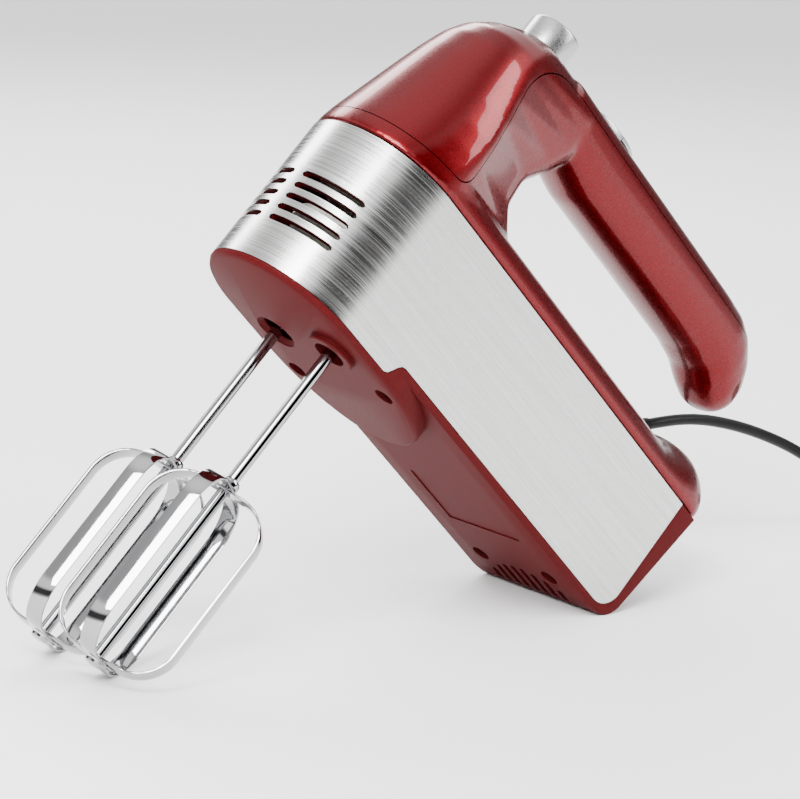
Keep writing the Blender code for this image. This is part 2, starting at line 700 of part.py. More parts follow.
def make_spring():
    """The return spring under the eject button, a wire wound on a helix."""
    turns, steps, radius = 6, 10, 5.6
    low, high = 111.8, 153.5
    points = []
    for i in range(turns * steps + 1):
        a = 2 * math.pi * i / steps
        points.append((radius * math.cos(a), radius * math.sin(a), low + (high - low) * i / (turns * steps)))
    wire("eject_spring", points, 0.55, 1, LAMINATE)


def wire(name, points, radius, resolution, finish):
    """A round tube along straight stretches between points."""
    curve = bpy.data.curves.new(name, "CURVE")
    curve.dimensions = "3D"
    curve.bevel_depth = radius * MM
    curve.bevel_resolution = resolution
    curve.use_fill_caps = True
    curve.materials.append(finish)
    line = curve.splines.new("POLY")
    line.points.add(len(points) - 1)
    for corner, point in zip(line.points, points):
        corner.co = (*(Vector(point) * MM), 1)
    obj = bpy.data.objects.new(name, curve)
    mixer.objects.link(obj)
    return obj


def half_oval_outline(inner, outer, inset):
    """Square at the inner end, round at the outer end."""
    way = 1 if outer > inner else -1
    reach = outer - inner - way * inset
    half = SWITCH_HALF_Y - inset
    turns = [math.pi * (i / 12 - 0.5) for i in range(13)]
    return [(inner + reach * math.cos(a), half * math.sin(a)) for a in turns]


def half_oval(name, low, inner, outer):
    """One half of the oval control."""
    rings = []
    for z, inset in ((low, 0.0), (SWITCH_TOP - 1.2, 0.0), (SWITCH_TOP - 0.3, 0.8), (SWITCH_TOP, 2.2)):
        rings.append([(x, y, z) for x, y in half_oval_outline(inner, outer, inset)])
    return loft(name, rings, SILVER)


def make_controls():
    under = HANDLE_HIGH + 1.0
    turbo = half_oval("turbo_button", HANDLE_HIGH - 1.0, TURBO_X[1], TURBO_X[0])
    join(turbo, box("turbo_stem", (TURBO_X[0] + 4.0, -2.9, 148.5), (TURBO_X[1] - 2.5, 2.9, under)))
    slider = half_oval("speed_slider", HANDLE_HIGH + CLEAR, SLIDER_X[0], SLIDER_X[1])
    stem = SLIDER_X[0] + 3.0
    join(slider, box("slider_stem", (stem, -2.1, 148.0), (stem + 9.0, 2.1, under)))
    box("slider_contact", (stem + 1, -4.0, 146.4), (stem + 8, 4.0, 147.6), BRASS)
    box("switch_body", (42.0, -10.0, 132.0), (106.0, 10.0, 146.0), DARK)


def make_electronics():
    box("control_board", (114.0, -12.0, 134.0), (152.0, 12.0, 135.6), GREEN)
    sink = box("heat_sink", (120.0, -9.0, 135.9), (140.0, 9.0, 137.6), LAMINATE)
    for i in range(5):
        y = 4.0 * i - 8.5
        join(sink, box("fin", (120.0, y, 137.0), (140.0, y + 1.0, 145.0)))


def make_screws():
    top = COLUMN_TOP - 2.2 - CLEAR
    for name, xy in SCREWS.items():
        screw = turned(name, [(3.3, top - 2.4), (3.5, top - 2.0), (3.5, top)], 0.0, xy, 14, LAMINATE)
        x, y = xy
        cut(screw, box("slot", (x - 2.2, y - 0.45, 20), (x + 2.2, y + 0.45, top - 1.2)))
        join(screw, pin("shank", 1.5, top - 1.0, 54.0, xy, 10))


# ---------------------------------------------------------------- cord, in the resting frame
def smooth_route(points, spacing):
    """Points at about even spacing on a Catmull-Rom curve through the route."""
    line = [Vector(p) for p in points]
    line = [2 * line[0] - line[1], *line, 2 * line[-1] - line[-2]]
    made = []
    for a, b, c, d in zip(line, line[1:], line[2:], line[3:]):
        steps = max(1, round((c - b).length / spacing))
        for i in range(steps):
            t = i / steps
            made.append(0.5 * (2 * b + (c - a) * t + (2 * a - 5 * b + 4 * c - d) * t**2 + (3 * b - a - 3 * c + d) * t**3))
    return [*made, line[-2]]


def make_cord(housing):
    """The strain relief in its hole, the hanging cord, the coil with its tie, and the plug on the coil."""
    x, y, z = CORD_ROUTE[0]
    base = x - CLEAR - BOOT_LENGTH
    boot = [(4.4, 0.0), (4.4, 5.0)]
    for i in range(4):
        boot += [(4.3 - 0.35 * i, 9.0 + 5.2 * i), (3.7 - 0.25 * i, 9.6 + 5.2 * i), (3.7 - 0.25 * i, 12.2 + 5.2 * i)]

    def place_boot():
        turned("strain_relief", boot + [(3.0, BOOT_LENGTH)], sides=16, finish=BLACK)

    assembly("strain_relief_axis", (base, y, z), math.pi / 2, place_boot)
    hole = pin("cord_hole", 4.4 + CLEAR, -15, 30, sides=16)
    hole.location = Vector((base, y, z)) * MM
    hole.rotation_euler = (0, math.pi / 2, 0)
    cut(housing, hole)

    wire("cord", smooth_route(CORD_ROUTE, 3 * CORD_R * 2), CORD_R, 2, BLACK)
    half, low, high = COIL_HALF, COIL_LOW, COIL_LOW + COIL_HIGH
    section = [(COIL_MID_R + half - 2, low), (COIL_MID_R + half, low + 2), (COIL_MID_R + half, high - 2)]
    section += [(COIL_MID_R + half - 2, high)]
    turned("cord_coil", section, COIL_MID_R - half, COIL_AT, 32, BLACK)
    make_tie()
    assembly("plug_axis", (COIL_AT[0] - 30.0, COIL_AT[1], PLUG_Z), math.pi / 2, make_plug)


def make_tie():
    """A strap round the coil's turns, on the side away from the mixer."""
    x, y = COIL_AT[0] + COIL_MID_R, COIL_AT[1]
    half, low, high = COIL_HALF + 0.9, COIL_LOW - CLEAR, COIL_LOW + COIL_HIGH + CLEAR
    strap = box("coil_tie", (x - half - 0.7, y - 4, low - 0.7), (x + half + 0.7, y + 4, high + 0.7), BLACK)
    cut(strap, box("tie_inside", (x - half, y - 9, low), (x + half, y + 9, high)))


def make_plug():
    """A flat plug with two round pins, drawn along Z from its tail to its pins."""
    rings = []
    for z, wide, thick in ((0, 7, 7), (10, 9, 8), (14, 16, 10), (20, 27, 13), (40, 34, 13.6), (41, 33, 12.8)):
        corner = thick / 2 - 0.3
        outline = []
        for sy, start in ((1, 0), (-1, 180)):
            outline += arc(0, sy * (wide / 2 - corner), corner, start, start + 180, 8)
        rings.append([(u, v, z) for u, v in outline])
    loft("plug_body", rings, BLACK)
    for name, v in (("plug_pin_near", -9.3), ("plug_pin_far", 9.3)):
        shape = [(2.0, 41.3), (2.0, 58.0), (1.2, 59.5)]
        turned(name, shape, 0.0, (0, v), 12, BRASS)


# ---------------------------------------------------------------- putting it together
def reach_below(tilt):
    """How far the heel and the beaters reach below the origin at a tilt."""
    s, c = math.sin(tilt), math.cos(tilt)
    heel = HEEL_X * s - (UNDER_Z + HEEL_R) * c + HEEL_R
    across = math.cos(WING_ANGLE)
    flat = (LOOP_R - LOOP_CORNER) * across + RIBBON_WIDTH / 2 * math.sin(WING_ANGLE)
    beater = flat * s - (LOOP_LOW + LOOP_CORNER) * c + LOOP_CORNER * math.hypot(across * s, c)
    return heel, beater


def resting_tilt():
    """The tilt at which heel and beaters touch the floor together."""
    low, high = math.radians(20), math.radians(70)
    for _ in range(40):
        middle = (low + high) / 2
        heel, beater = reach_below(middle)
        if heel < beater:
            low = middle
        else:
            high = middle
    return middle


def make_mixer():
    make_bottom_housing()
    make_steel_band()
    make_top_cover()
    make_screws()
    make_gearbox()
    make_eject_yoke()
    make_controls()
    make_electronics()
    housing = make_main_housing()

    tooth = math.pi / WHEEL_TEETH

    def far_spindle():
        make_worm_wheel("beater_gear_far", -math.pi / 2)
        make_beater("far")

    def near_spindle():
        make_worm_wheel("beater_gear_near", math.pi / 2 + tooth)
        make_beater("near")

    def rotor():
        make_worm_shaft()
        make_armature()
        make_fan()

    def motor_frame():
        make_stator()
        make_field_coils()
        make_brushes()
        make_bearings()
        make_motor_brackets()

    def button():
        make_eject_button()
        make_spring()

    assembly("far_spindle", (0, SOCKET_Y, 0), 0, far_spindle)
    assembly("near_spindle", (0, -SOCKET_Y, 0), 0, near_spindle)
    assembly("rotor", (0, 0, DRIVE_Z), math.pi / 2, rotor)
    assembly("motor_frame", (0, 0, DRIVE_Z), math.pi / 2, motor_frame)
    assembly("eject_axis", (BUTTON_X, 0, 0), 0, button)
    return housing


def main():
    made = []
    tilt = resting_tilt()
    assembly("mixer_frame", (FRAME_X, 0, max(reach_below(tilt))), tilt, lambda: made.append(make_mixer()))
    make_cord(made[0])


main()
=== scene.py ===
import json
import math

import bmesh
import bpy
from mathutils import Matrix, Quaternion, Vector


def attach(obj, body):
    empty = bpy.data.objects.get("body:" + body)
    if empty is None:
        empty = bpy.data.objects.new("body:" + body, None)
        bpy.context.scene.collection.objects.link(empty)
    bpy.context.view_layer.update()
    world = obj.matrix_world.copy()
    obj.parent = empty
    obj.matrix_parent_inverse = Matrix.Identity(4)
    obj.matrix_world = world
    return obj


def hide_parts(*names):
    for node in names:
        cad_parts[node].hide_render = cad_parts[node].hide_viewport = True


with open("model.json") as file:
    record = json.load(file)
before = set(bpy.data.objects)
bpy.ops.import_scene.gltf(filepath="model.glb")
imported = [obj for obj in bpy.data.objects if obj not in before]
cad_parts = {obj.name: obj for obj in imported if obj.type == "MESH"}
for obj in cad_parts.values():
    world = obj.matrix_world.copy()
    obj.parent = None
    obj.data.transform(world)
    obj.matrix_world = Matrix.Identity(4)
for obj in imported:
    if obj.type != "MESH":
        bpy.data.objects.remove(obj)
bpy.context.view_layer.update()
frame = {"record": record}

MM = 0.001
CLEAR = 0.3

# The mixer's own frame inside the row frame: X from nose to heel, Z from the beaters to the handle.
TILT = math.radians(43.686819)
MIXER_AT = Vector((-61.6, 0.0, 117.061)) * MM
PLACE = Matrix.Translation(MIXER_AT) @ Matrix.Rotation(TILT, 4, "Y")

# Casing, in millimetres, as the CAD model has it; the round stretches get more steps here.
HALF_WIDTH = 36.3
NOSE_X = -14.2
NOSE_STEPS = 72
BAND_TOP = 67.2
BAND_LOW = 10.3
BAND_LOW_HEAD = 2.8
BAND_REAR = 178.5
BAND_CORNER = 10.0
BAND_THICK = 0.8
WALL = 2.2
BLENDED_WALL = 4.4  # the upper casing's hidden wall: smoothing eats into it from outside
UNDER_Z = 7.1
HEEL_X = 172.1
HEEL_R = 12.0
HEEL_LEVELS = (11.0, 12.5, 14.5, 16.8, 19.1)  # heights of the rings that round the heel
REAR_SLOPE = 0.127
BOSS_X = 14.0
BOSS_END = 66.0
VENTS = 5
VENT_LOW, VENT_PITCH = 20.5, 5.3
VENT_HALF = 1.35
VENT_ARC = (4.0, 51.0)  # degrees round the nose, from its front
VENT_REACH = (30.0, 42.0)  # radii that the slots are cut between
VENT_STEPS = 32
COVER_LOW = BAND_TOP + CLEAR
BARREL_LOW = 70.0
BARREL_RISE = 16.0
BARREL_STEPS = 40
TAIL_X = 158.0
TAIL_RISE = 8.5
TAIL_STATIONS = (
    # share of the way to the rear face, share of the rise, how far the sides draw in
    (0.25, 0.3, 0.0),
    (0.5, 0.8, 0.0),
    (0.7, 1.0, 0.2),
    (0.85, 0.85, 0.8),
    (0.95, 0.5, 1.6),
    (1.0, 0.0, 3.0),
)
HEAD_LEVELS = (
    # height, front, half width
    (COVER_LOW, -50.4, 36.2),
    (71.0, -50.2, 36.0),
    (78.0, -48.6, 35.6),
    (86.0, -46.3, 34.8),
    (96.0, -43.5, 33.2),
    (108.0, -40.2, 30.4),
    (120.0, -36.8, 27.0),
    (131.0, -33.0, 23.6),
    (139.0, -28.2, 20.8),
    (146.0, -20.8, 17.6),
    (151.5, -11.8, 13.6),
    (155.2, -2.6, 8.6),
)
GAP_X, GAP_Z, GAP_R = 48.5, 104.6, 19.0  # centre and radius of the finger gap's front end
HANDLE_LOW, HANDLE_HIGH = 123.3, 157.3
HANDLE_HALF_Y = 17.0
HANDLE_STEPS = 48
PART_NOSE_Z = 75.5  # parting line round the nose
PART_SIDE_X = -9.5
PART_CORNER = 8.0
PART_HANDLE_Z = 149.0
PART_BEND = 26.0
SEAM = CLEAR + 0.1  # gap left open along the parting line
VOXEL = 1.0
SOFT_ROUNDS = 24  # rounds of smoothing over the voxels
INSIDE_DROP = 8.0  # how far the hollow reaches down past the cover's lower edge

# Underside, in millimetres.
SCREWS = ((26.1, -26.5), (26.1, 26.5), (156.2, -20.9), (156.2, 20.9))
COLUMN_R = 5.6
COLUMN_TOP = 38.0
SCREW_WELL_R = 4.1
SCREW_PILOT_R = 1.9
NEAR_HOLE_R = 6.6
FAR_HOLE_R = 7.4
FAR_RIM_R = 8.9
PLATE_X = (98.5, 131.0)
PLATE_HALF_Y = 21.5
PLATE_DEPTH = 0.5
REAR_VENTS = 8
REAR_VENT_PITCH = 5.7
REAR_VENT_HALF = 1.4
REAR_VENT_FRONT = 158.7  # where the middle of the row begins
REAR_VENT_CURVE = 0.021
REAR_VENT_END = 173.5

# Beaters and controls, in millimetres.
SOCKET_Y = 17.5
STEM_R = 2.45
STEM_TOP = 43.0
BEATER_LOW = -149.6
LOOP_TOP = -67.0
LOOP_LOW = -148.0
LOOP_R = 25.0
LOOP_CORNER = 16.0
RIBBON_WIDTH = 7.0
RIBBON_THICK = 0.9
WING_ANGLE = math.radians(30)
FERRULE_R = 4.0
RIVET_R = 3.6
BUTTON_X = 5.5
BUTTON_R = 11.2
BUTTON_TOP = 165.2
BUTTON_LOW = 149.5
BUTTON_WALL = 1.8
BUTTON_POST_R = 3.6
BUTTON_BORE_R = 2.7
SWITCH_HALF_Y = 7.0
SWITCH_TOP = 160.0
TURBO_X = (44.5, 59.5)
SLIDER_X = (60.0, 74.5)
SLIDER_TRAVEL = 24.0
SLIDER_STEM_HALF = 2.1
SLIDER_SLOT_HALF = 2.6
TURBO_STEM_HALF = 2.9
STEM_LOW = 148.0
TOP_CUT = (140.0, 175.0)  # from inside the head to above the controls

# Cord, in metres in the row frame.
CORD_R = 0.0025
CORD_ROUTE = (
    (0.1485, 0.022, 0.0604),
    (0.1605, 0.022, 0.0609),
    (0.1725, 0.022, 0.0606),
    (0.1860, 0.022, 0.0589),
    (0.2010, 0.022, 0.0555),
    (0.2165, 0.022, 0.0509),
    (0.2345, 0.022, 0.0442),
    (0.2490, 0.022, 0.0375),
    (0.2625, 0.022, 0.0296),
    (0.2760, 0.022, 0.0205),
    (0.2890, 0.022, 0.0118),
    (0.3010, 0.022, 0.0060),
    (0.3120, 0.022, 0.0038),
    (0.3220, 0.022, 0.0036),
)
COIL_AT = (0.322, -0.016)
COIL_COLUMNS = 3  # turns side by side in each of two layers
COIL_TURNS = 2 * COIL_COLUMNS
COIL_STEPS = 16
COIL_SKIP = 3  # steps left out where the hanging stretch runs into the coil
COIL_EASE = 0.3  # share of a turn over which the cord moves across to the next
COIL_MID_R = 0.0275
COIL_LOW = 0.0011

# Camera, in millimetres in the mixer's own frame: where it stands, and what is right, up and behind it.
CAMERA_AT = (-694.55, -913.48, -342.62)
CAMERA_AXES = ((0.5063, -0.6411, 0.5769), (-0.6125, 0.2036, 0.7638), (-0.6071, -0.7400, -0.2895))
CAMERA_LENS = 142.15

# Studio: brightness of the surroundings from the horizon up, and where a dark card stands.
SKY = ((0.0, 0.5), (0.10, 0.05), (0.26, 0.05), (0.40, 1.0), (0.60, 1.0), (0.8, 0.4), (1.0, 1.0))
CARD_WAY = (0.147, -0.946, 0.288)
CARD_EDGE = ((0.84, 1.0), (0.93, 0.0))
SKY_STRENGTH = 2.2
FLOOR_HALF = 6.0

ROUND_ANGLE = math.radians(35)  # edges sharper than this are rounded
SMOOTH_ANGLE = math.radians(32)  # edges flatter than this are shaded smooth

pieces = bpy.data.collections.new("pieces")
bpy.context.scene.collection.children.link(pieces)


# ---------------------------------------------------------------- camera, floor and light
def make_camera():
    camera = bpy.data.objects.new("camera", bpy.data.cameras.new("camera"))
    bpy.context.scene.collection.objects.link(camera)
    camera.data.lens = CAMERA_LENS
    camera.data.sensor_width = 36.0
    stand = Matrix(CAMERA_AXES).transposed().to_4x4()
    stand.translation = Vector(CAMERA_AT) * MM
    camera.matrix_world = PLACE @ stand
    bpy.context.scene.camera = camera


def area_light(name, at, aim, size, power):
    data = bpy.data.lights.new(name, "AREA")
    data.shape = "RECTANGLE"
    data.size, data.size_y = size
    data.energy = power
    light = bpy.data.objects.new(name, data)
    light.location = at
    light.rotation_euler = (Vector(aim) - Vector(at)).to_track_quat("-Z", "Y").to_euler()
    bpy.context.scene.collection.objects.link(light)


def make_stage():
    bm = bmesh.new()
    bmesh.ops.create_grid(bm, x_segments=2, y_segments=2, size=FLOOR_HALF)
    mesh = bpy.data.meshes.new("floor")
    bm.to_mesh(mesh)
    bm.free()
    floor = bpy.data.objects.new("floor", mesh)
    bpy.context.scene.collection.objects.link(floor)
    mesh.materials.append(new_material("pale_floor", (0.94, 0.94, 0.94), 0.6)[0])
    make_world()
    area_light("key", (-1.0, -0.7, 1.2), (0, 0, 0.12), (0.8, 0.8), 60)
    area_light("fill", (1.2, -1.1, 0.9), (0, 0, 0.12), (0.5, 1.0), 22)
    area_light("back", (0.4, 1.3, 1.1), (0, 0, 0.1), (1.6, 0.5), 34)


def make_world():
    """A white studio with a dark belt near the horizon and a dark card in front, for metal to reflect."""
    world = bpy.data.worlds.new("studio")
    world.use_nodes = True
    bpy.context.scene.world = world
    nodes, links = world.node_tree.nodes, world.node_tree.links
    where = nodes.new("ShaderNodeTexCoord")
    parts = nodes.new("ShaderNodeSeparateXYZ")
    links.new(where.outputs["Generated"], parts.inputs["Vector"])
    belt = shades(nodes, SKY)
    links.new(parts.outputs["Z"], belt.inputs["Fac"])
    toward = nodes.new("ShaderNodeVectorMath")
    toward.operation = "DOT_PRODUCT"
    toward.inputs[1].default_value = CARD_WAY
    links.new(where.outputs["Generated"], toward.inputs[0])
    card = shades(nodes, CARD_EDGE)
    links.new(toward.outputs["Value"], card.inputs["Fac"])
    both = nodes.new("ShaderNodeMix")
    both.data_type = "RGBA"
    both.blend_type = "MULTIPLY"
    both.inputs["Factor"].default_value = 1.0
    links.new(belt.outputs["Color"], both.inputs["A"])
    links.new(card.outputs["Color"], both.inputs["B"])
    links.new(both.outputs["Result"], nodes["Background"].inputs["Color"])
    nodes["Background"].inputs["Strength"].default_value = SKY_STRENGTH


def shades(nodes, stops):
    """A colour ramp through greys, given as (position, shade)."""
    made = nodes.new("ShaderNodeValToRGB")
    made.color_ramp.interpolation = "EASE"
    marks = made.color_ramp.elements
    for mark, (position, shade) in zip(marks, (stops[0], stops[-1])):
        mark.position = position
        mark.color = (shade, shade, shade, 1)
    for position, shade in stops[1:-1]:
        marks.new(position).color = (shade, shade, shade, 1)
    return made


# ---------------------------------------------------------------- materials
def new_material(name, colour, roughness, metallic=0.0):
    """The material with its nodes, its links and its shader."""
    made = bpy.data.materials.new(name)
    made.use_nodes = True
    shader = made.node_tree.nodes["Principled BSDF"]
    shader.inputs["Base Color"].default_value = (*colour, 1)
    shader.inputs["Roughness"].default_value = roughness
    shader.inputs["Metallic"].default_value = metallic
    made.diffuse_color = (*colour, 1)
    return made, made.node_tree.nodes, made.node_tree.links, shader


def noise_of(nodes, links, scale, detail=3.0, stretch=(1, 1, 1)):
    """Noise in metres along the mixer's own axes, drawn out by the given factors."""
    where = nodes.new("ShaderNodeTexCoord")
    mapping = nodes.new("ShaderNodeMapping")
    mapping.vector_type = "TEXTURE"
    mapping.inputs["Scale"].default_value = stretch
    mapping.inputs["Rotation"].default_value = (0, TILT, 0)
    noise = nodes.new("ShaderNodeTexNoise")
    noise.inputs["Scale"].default_value = scale
    noise.inputs["Detail"].default_value = detail
    links.new(where.outputs["Object"], mapping.inputs["Vector"])
    links.new(mapping.outputs["Vector"], noise.inputs["Vector"])
    return noise.outputs["Fac"]


def vary_colour(nodes, links, shader, factor, dark, light, low=0.35, high=0.65):
    ramp = nodes.new("ShaderNodeValToRGB")
    ramp.color_ramp.elements[0].position = low
    ramp.color_ramp.elements[0].color = (*dark, 1)
    ramp.color_ramp.elements[1].position = high
    ramp.color_ramp.elements[1].color = (*light, 1)
    links.new(factor, ramp.inputs["Fac"])
    links.new(ramp.outputs["Color"], shader.inputs["Base Color"])


def vary_roughness(nodes, links, shader, factor, low, high):
    span = nodes.new("ShaderNodeMapRange")
    span.inputs["From Min"].default_value = 0.3
    span.inputs["From Max"].default_value = 0.7
    span.inputs["To Min"].default_value = low
    span.inputs["To Max"].default_value = high
    links.new(factor, span.inputs["Value"])
    links.new(span.outputs["Result"], shader.inputs["Roughness"])


def bump(nodes, links, shader, factor, strength, distance):
    made = nodes.new("ShaderNodeBump")
    made.inputs["Strength"].default_value = strength
    made.inputs["Distance"].default_value = distance
    links.new(factor, made.inputs["Height"])
    links.new(made.outputs["Normal"], shader.inputs["Normal"])


def pearl_red():
    """Metallic paint under lacquer: fine flake in the colour, gloss from the coat."""
    dark, light = (0.09, 0.0005, 0.002), (0.14, 0.001, 0.004)
    made, nodes, links, shader = new_material("pearl_red", light, 0.3, 0.8)
    shader.inputs["Specular IOR Level"].default_value = 0.2
    shader.inputs["Coat Weight"].default_value = 0.35
    shader.inputs["Coat Roughness"].default_value = 0.05
    flake = noise_of(nodes, links, 2600, 2.0)
    vary_colour(nodes, links, shader, flake, dark, light, 0.3, 0.7)
    vary_roughness(nodes, links, shader, noise_of(nodes, links, 900, 2.0), 0.26, 0.32)
    bump(nodes, links, shader, flake, 0.03, 0.0001)
    return made


def satin_red():
    """The underside's plastic: the same red without lacquer."""
    made, nodes, links, shader = new_material("satin_red", (0.06, 0.002, 0.003), 0.6)
    shader.inputs["Specular IOR Level"].default_value = 0.08
    grain = noise_of(nodes, links, 1600, 3.0)
    vary_colour(nodes, links, shader, grain, (0.045, 0.0015, 0.002), (0.075, 0.003, 0.004))
    vary_roughness(nodes, links, shader, grain, 0.55, 0.65)
    bump(nodes, links, shader, grain, 0.05, 0.0001)
    return made


def brushed_steel():
    """Fine scratches that run from nose to heel."""
    made, nodes, links, shader = new_material("brushed_steel", (0.62, 0.61, 0.6), 0.3, 1.0)
    lines = noise_of(nodes, links, 3000, 2.0, (200, 200, 1))
    vary_colour(nodes, links, shader, lines, (0.46, 0.455, 0.45), (0.6, 0.595, 0.59))
    vary_roughness(nodes, links, shader, lines, 0.2, 0.32)
    bump(nodes, links, shader, lines, 0.02, 0.0001)
    return made


def polished_steel():
    made, nodes, links, shader = new_material("polished_steel", (0.36, 0.36, 0.37), 0.06, 1.0)
    vary_roughness(nodes, links, shader, noise_of(nodes, links, 260), 0.05, 0.1)
    return made


def satin_silver():
    made, nodes, links, shader = new_material("satin_silver", (0.42, 0.42, 0.42), 0.26, 0.95)
    grain = noise_of(nodes, links, 1800, 2.0)
    vary_roughness(nodes, links, shader, grain, 0.24, 0.36)
    bump(nodes, links, shader, grain, 0.05, 0.0001)
    return made


def moulded(name, colour, roughness, metallic=0.0, scale=1400, depth=0.08, gloss=0.3):
    """A plain finish with a fine grain and a little unevenness in its colour."""
    made, nodes, links, shader = new_material(name, colour, roughness, metallic)
    shader.inputs["Specular IOR Level"].default_value = gloss
    grain = noise_of(nodes, links, scale, 4.0)
    dark = [0.85 * c for c in colour]
    light = [min(1.15 * c, 1) for c in colour]
    vary_colour(nodes, links, shader, grain, dark, light)
    vary_roughness(nodes, links, shader, grain, roughness - 0.06, roughness + 0.08)
    bump(nodes, links, shader, grain, depth, 0.0002)
    return made


SLOTS = {
    "pearl_red": pearl_red(),
    "brushed_steel": brushed_steel(),
    "polished_steel": polished_steel(),
    "satin_silver": satin_silver(),
    "black_rubber": moulded("black_rubber", (0.004, 0.004, 0.004), 0.36, depth=0.03, gloss=0.1),
    "white_nylon": moulded("white_nylon", (0.78, 0.76, 0.7), 0.45),
    "copper": moulded("copper", (0.72, 0.31, 0.16), 0.35, 0.9, 700, 0.3),
    "laminated_iron": moulded("laminated_iron", (0.32, 0.32, 0.33), 0.4, 0.9, 900, 0.1),
    "dark_plastic": moulded("dark_plastic", (0.03, 0.03, 0.03), 0.5),
    "brass": moulded("brass", (0.7, 0.5, 0.2), 0.3, 0.95, 900),
    "board_green": moulded("board_green", (0.02, 0.16, 0.06), 0.5),
    "graphite": moulded("graphite", (0.05, 0.05, 0.055), 0.6),
}


def dress_cad_nodes():
    """Gives every CAD node the procedural finish of its material slot."""
    slot_of = {entry["node"]: entry["material_slot"] for entry in frame["record"]["subparts"]}
    for node, slot in slot_of.items():
        mesh = bpy.data.objects[node].data
        mesh.materials.clear()
        mesh.materials.append(SLOTS[slot])


# ---------------------------------------------------------------- making and joining shapes
def add(name, bm):
    """A new object from a bmesh in millimetres in the mixer's own frame."""
    bmesh.ops.recalc_face_normals(bm, faces=bm.faces)
    bmesh.ops.scale(bm, vec=(MM, MM, MM), verts=bm.verts)
    mesh = bpy.data.meshes.new(name)
    bm.to_mesh(mesh)
    bm.free()
    obj = bpy.data.objects.new(name, mesh)
    pieces.objects.link(obj)
    return obj


def box(low, high):
    bm = bmesh.new()
    bmesh.ops.create_cube(bm, size=1.0)
    low, high = Vector(low), Vector(high)
    bmesh.ops.scale(bm, vec=high - low, verts=bm.verts)
    bmesh.ops.translate(bm, vec=(high + low) / 2, verts=bm.verts)
    return add("tool", bm)


def pin(radius, low, high, centre=(0, 0), sides=48):
    bm = bmesh.new()
    made = {"radius1": radius, "radius2": radius, "depth": high - low, "segments": sides}
    bmesh.ops.create_cone(bm, cap_ends=True, matrix=Matrix.Translation((*centre, (low + high) / 2)), **made)
    return add("tool", bm)


def turned(name, profile, centre=(0, 0), sides=64):
    """A solid spun about Z from (radius, height) pairs."""
    rings = []
    for radius, height in profile:
        ring = []
        for i in range(sides):
            a = 2 * math.pi * i / sides
            ring.append((centre[0] + radius * math.cos(a), centre[1] + radius * math.sin(a), height))
        rings.append(ring)
    return loft(name, rings)


def prism(outline, low, high, plane="XY"):
    """An outline in the XY or XZ plane, drawn out along the third axis."""
    rings = []
    for level in (low, high):
        rings.append([(a, b, level) if plane == "XY" else (a, level, b) for a, b in outline])
    return loft("tool", rings)


def loft(name, rings):
    """A closed solid through rings of equally many points, each a list of (x, y, z)."""
    bm = bmesh.new()
    made = [[bm.verts.new(p) for p in ring] for ring in rings]
    count = len(rings[0])
    for low, high in zip(made, made[1:]):
        for i in range(count):
            bm.faces.new((low[i], low[(i + 1) % count], high[(i + 1) % count], high[i]))
    bm.faces.new(made[0][::-1])
    bm.faces.new(made[-1])
    return add(name, bm)


def combine(obj, others, operation):
    """Applies a Boolean for each of the others, and removes them."""
    for other in others:
        modifier = obj.modifiers.new("cut", "BOOLEAN")
        modifier.operation = operation
        modifier.solver = "EXACT"
        modifier.object = other
    apply_modifiers(obj)
    for other in others:
        bpy.data.objects.remove(other, do_unlink=True)
    return obj


def apply_modifiers(obj):
    bpy.context.view_layer.update()
    graph = bpy.context.evaluated_depsgraph_get()
    mesh = bpy.data.meshes.new_from_object(obj.evaluated_get(graph))
    obj.modifiers.clear()
    obj.data = mesh
    return obj


def cut(obj, *others):
    return combine(obj, others, "DIFFERENCE")


def join(obj, *others):
    return combine(obj, others, "UNION")


def keep_inside(obj, other):
    return combine(obj, [other], "INTERSECT")


def arc(cx, cy, radius, start, end, steps):
    turns = [math.radians(start + (end - start) * i / steps) for i in range(steps + 1)]
    return [(cx + radius * math.cos(a), cy + radius * math.sin(a)) for a in turns]


def settle(obj, slot, body, *nodes, edge=0.0, material=None):
    """Finishes a piece: rounded edges, smooth shading, its place, its body and the nodes it stands for."""
    if edge:
        bevel = obj.modifiers.new("edge", "BEVEL")
        bevel.width = edge * MM
        bevel.segments = 2
        bevel.limit_method = "ANGLE"
        bevel.angle_limit = ROUND_ANGLE
        apply_modifiers(obj)
    obj.data.transform(PLACE)
    obj.data.materials.clear()
    obj.data.materials.append(material or SLOTS[slot])
    obj.data.shade_smooth()
    obj.data.set_sharp_from_angle(angle=SMOOTH_ANGLE)
    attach(obj, body)
    if nodes:
        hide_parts(*nodes)
    return obj


# ---------------------------------------------------------------- lower casing and steel band
def rear_x(z):
    """Where the rear face lies at a height: rounded below, then leaning back."""
    straight = HEEL_X + HEEL_R + REAR_SLOPE * max(z - UNDER_Z - HEEL_R, 0.0)
    below = UNDER_Z + HEEL_R - z
    if below <= 0:
        return straight
    return HEEL_X + math.sqrt(max(HEEL_R**2 - below**2, 0.0))


def plan(z, inset=0.0, corner=1.5):
    """The casing's outline at a height."""
    half, back = HALF_WIDTH - inset, rear_x(z) - inset
    nose = arc(NOSE_X, 0, half, 90, 270, NOSE_STEPS)
    near = arc(back - corner, -half + corner, corner, 270, 360, 4)
    far = arc(back - corner, half - corner, corner, 0, 90, 4)
    return [(x, y, z) for x, y in nose + near + far]


def boss_plan(z, inset=0.0):
    """The outline of the boss under the nose, round at both ends."""
    half, reach = HALF_WIDTH - inset, BOSS_END - BOSS_X - inset
    nose = arc(NOSE_X, 0, half, 90, 270, NOSE_STEPS)
    turns = [math.radians(-90 + 180 * i / NOSE_STEPS) for i in range(NOSE_STEPS + 1)]
    rear = [(BOSS_X + reach * math.cos(a), half * math.sin(a)) for a in turns]
    return [(x, y, z) for x, y in nose + rear]


